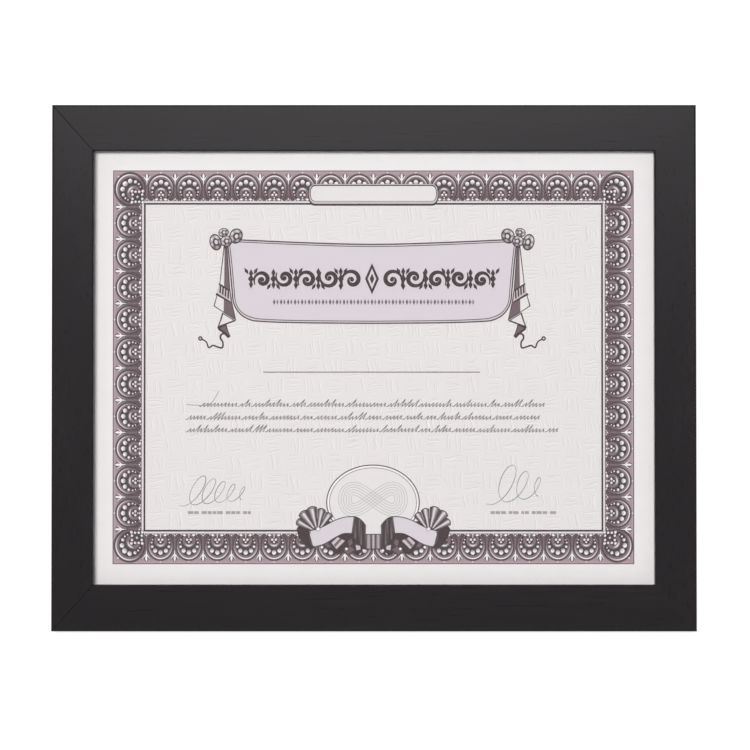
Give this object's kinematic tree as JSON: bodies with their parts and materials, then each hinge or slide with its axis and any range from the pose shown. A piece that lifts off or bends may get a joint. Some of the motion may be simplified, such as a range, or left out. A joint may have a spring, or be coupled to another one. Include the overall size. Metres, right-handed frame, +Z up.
{
  "type": "certificate frame",
  "caption": "Landscape certificate frame with mitred satin black mouldings, glass, a bordered certificate, turn-button back and a folding easel leg with ribbon stay.",
  "frame": {"origin": "on the table, below the middle of the standing frame's box", "axes": "+X across the frame to the viewer's right, +Y from its face towards its easel leg, +Z up"},
  "size_m": [0.3118, 0.0956, 0.2502],
  "materials": {
    "black_moulding": "smooth satin black lacquer",
    "clear_glass": "clear float glass",
    "certificate_paper": "matt white paper with a printed border",
    "corrugated_card": "brown corrugated card",
    "black_hardboard": "hardboard faced with black grained paper",
    "zinc_steel": "bright zinc plated pressed steel",
    "brassed_steel": "brass plated pressed steel",
    "black_ribbon": "black woven grosgrain ribbon",
    "soft_pad": "dark soft rubber"
  },
  "bodies": {
    "frame": {"rail_top": "black_moulding", "rail_bottom": "black_moulding", "rail_left": "black_moulding", "rail_right": "black_moulding", "glass_pane": "clear_glass", "certificate_sheet": "certificate_paper", "filler_card": "corrugated_card", "back_board": "black_hardboard", "easel_head": "black_hardboard", "corner_nails": "zinc_steel", "button_screws": "zinc_steel", "hinge_leaf_head": "zinc_steel", "hinge_pin": "zinc_steel", "head_rivets": "zinc_steel", "stay_rivet_board": "zinc_steel", "hanger_landscape": "brassed_steel", "hanger_portrait": "brassed_steel", "hanger_nails": "brassed_steel", "stay_ribbon": "black_ribbon", "bumper_pads": "soft_pad"},
    "easel": {"easel_leg": "black_hardboard", "hinge_leaf_leg": "zinc_steel", "leg_rivets": "zinc_steel", "stay_rivet_leg": "zinc_steel"},
    "turn_button_top_left": {"turn_button_top_left": "zinc_steel"},
    "turn_button_top_right": {"turn_button_top_right": "zinc_steel"},
    "turn_button_bottom_left": {"turn_button_bottom_left": "zinc_steel"},
    "turn_button_bottom_right": {"turn_button_bottom_right": "zinc_steel"},
    "turn_button_left": {"turn_button_left": "zinc_steel"},
    "turn_button_right": {"turn_button_right": "zinc_steel"}
  },
  "joints": [
    {"name": "easel_fold", "type": "hinge", "parent": "frame", "child": "easel", "pos_m": [0, 0.01283, 0.16847], "axis": [1, 0, 0], "range_deg": [-26, 0], "deforming": ["stay_ribbon"]},
    {"name": "button_top_left_turn", "type": "hinge", "parent": "frame", "child": "turn_button_top_left", "pos_m": [-0.085, 0.02397, 0.23382], "axis": [0, 0.9703, -0.2419], "continuous": true},
    {"name": "button_top_right_turn", "type": "hinge", "parent": "frame", "child": "turn_button_top_right", "pos_m": [0.085, 0.02397, 0.23382], "axis": [0, 0.9703, -0.2419], "continuous": true},
    {"name": "button_bottom_left_turn", "type": "hinge", "parent": "frame", "child": "turn_button_bottom_left", "pos_m": [-0.085, -0.03107, 0.01308], "axis": [0, 0.9703, -0.2419], "continuous": true},
    {"name": "button_bottom_right_turn", "type": "hinge", "parent": "frame", "child": "turn_button_bottom_right", "pos_m": [0.085, -0.03107, 0.01308], "axis": [0, 0.9703, -0.2419], "continuous": true},
    {"name": "button_left_turn", "type": "hinge", "parent": "frame", "child": "turn_button_left", "pos_m": [-0.1455, -0.01217, 0.08885], "axis": [0, 0.9703, -0.2419], "continuous": true},
    {"name": "button_right_turn", "type": "hinge", "parent": "frame", "child": "turn_button_right", "pos_m": [0.1455, -0.01217, 0.08885], "axis": [0, 0.9703, -0.2419], "continuous": true}
  ]
}
